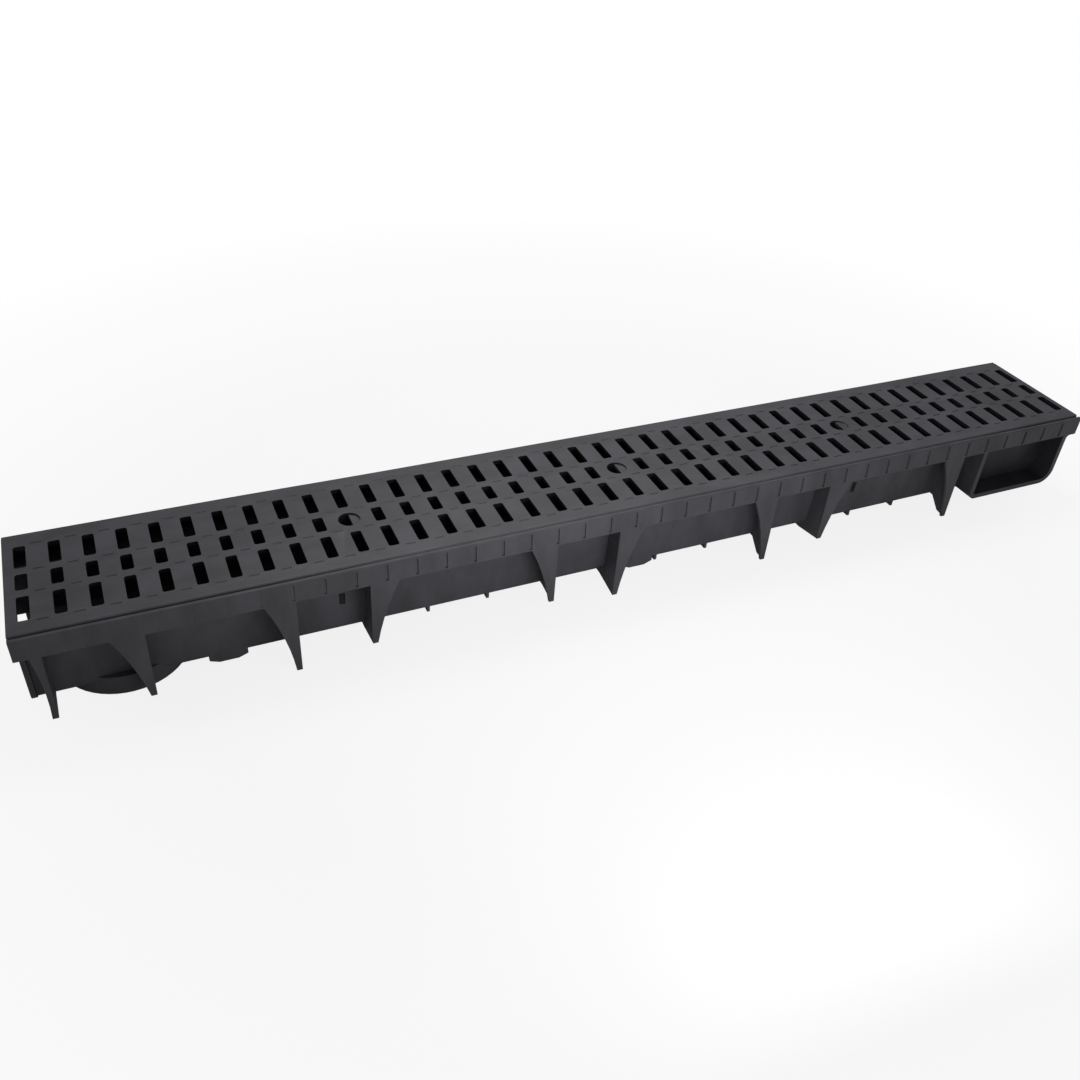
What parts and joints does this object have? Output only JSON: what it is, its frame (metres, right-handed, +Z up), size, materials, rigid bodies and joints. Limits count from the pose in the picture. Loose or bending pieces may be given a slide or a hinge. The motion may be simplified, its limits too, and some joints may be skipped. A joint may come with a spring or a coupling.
{
  "type": "channel drain",
  "caption": "Moulded plastic channel drain: a straight trough with ground anchors, an outlet stub and side ports, covered by a slotted grating.",
  "frame": {"origin": "midway along and across the drain, level with the longest anchor tips that it stands on", "axes": "+X along the drain towards the end with the side ports, +Y across it, +Z up through the grating"},
  "size_m": [1, 0.128, 0.09],
  "materials": {
    "channel_plastic": "matt moulded polypropylene, charcoal",
    "grating_plastic": "matt moulded polypropylene, charcoal, worn a little lighter on top"
  },
  "bodies": {
    "root": {"channel_body": "channel_plastic", "grating": "grating_plastic"}
  },
  "joints": []
}
